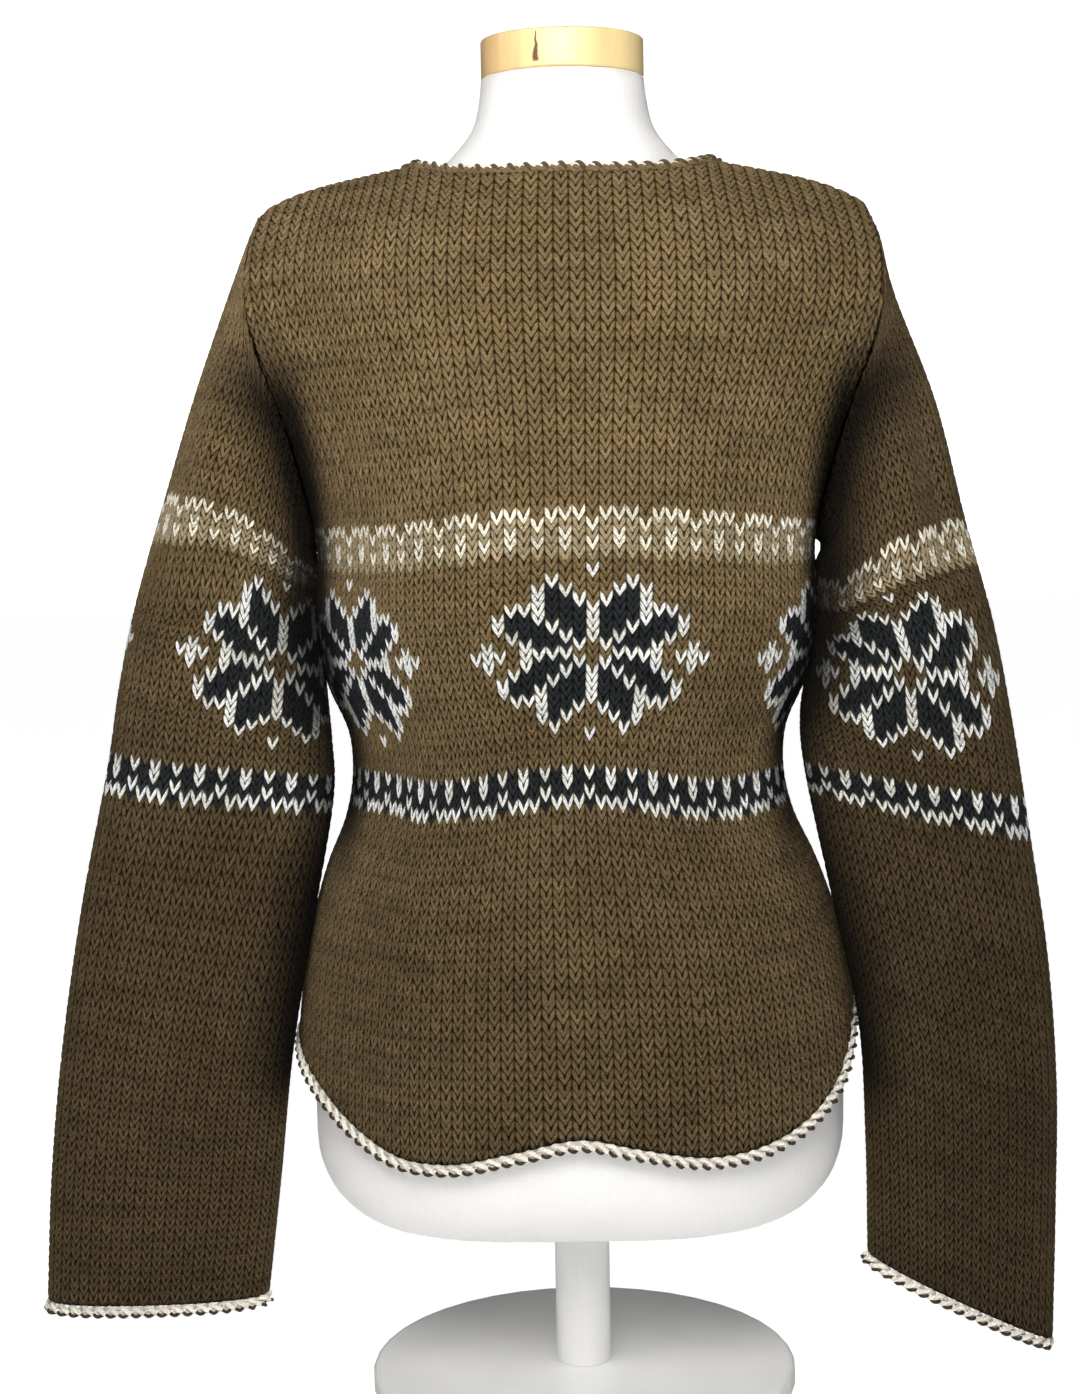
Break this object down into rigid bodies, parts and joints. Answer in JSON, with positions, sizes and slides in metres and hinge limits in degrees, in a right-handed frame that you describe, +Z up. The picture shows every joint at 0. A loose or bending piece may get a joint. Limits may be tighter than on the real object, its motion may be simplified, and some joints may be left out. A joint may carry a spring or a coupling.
{
  "type": "norwegian sweater on a dress form",
  "caption": "Bulky knitted boat-neck pullover with star pattern, long wide sleeves, rounded hem and twisted edging, worn on a limbless dress form with a neck cap and a low round stand.",
  "frame": {"origin": "centre of the stand foot's underside, on the floor under the form's post", "axes": "+Z up, -Y out of the sweater's front, +X to the viewer's right when looking at the front"},
  "size_m": [0.6533, 0.28, 0.8698],
  "materials": {
    "knit": "bulky wool stockinette, brown with cream, taupe and charcoal",
    "neck_cord": "brown wool loops over a cream cord",
    "cream_cord": "cream wool cord twisted with one thin dark ply",
    "form_jersey": "taut off-white jersey",
    "cap_wood": "pale lacquered wood",
    "stand_paint": "white satin powder coat"
  },
  "bodies": {
    "root": {"sweater_front": "knit", "sweater_back": "knit", "sleeve_left": "knit", "sleeve_right": "knit", "neck_edging": "neck_cord", "hem_edging_front": "cream_cord", "hem_edging_back": "cream_cord", "cuff_edging_left": "cream_cord", "cuff_edging_right": "cream_cord", "form_torso": "form_jersey", "form_neck_cap": "cap_wood", "stand_post": "stand_paint", "stand_foot": "stand_paint"}
  },
  "joints": []
}
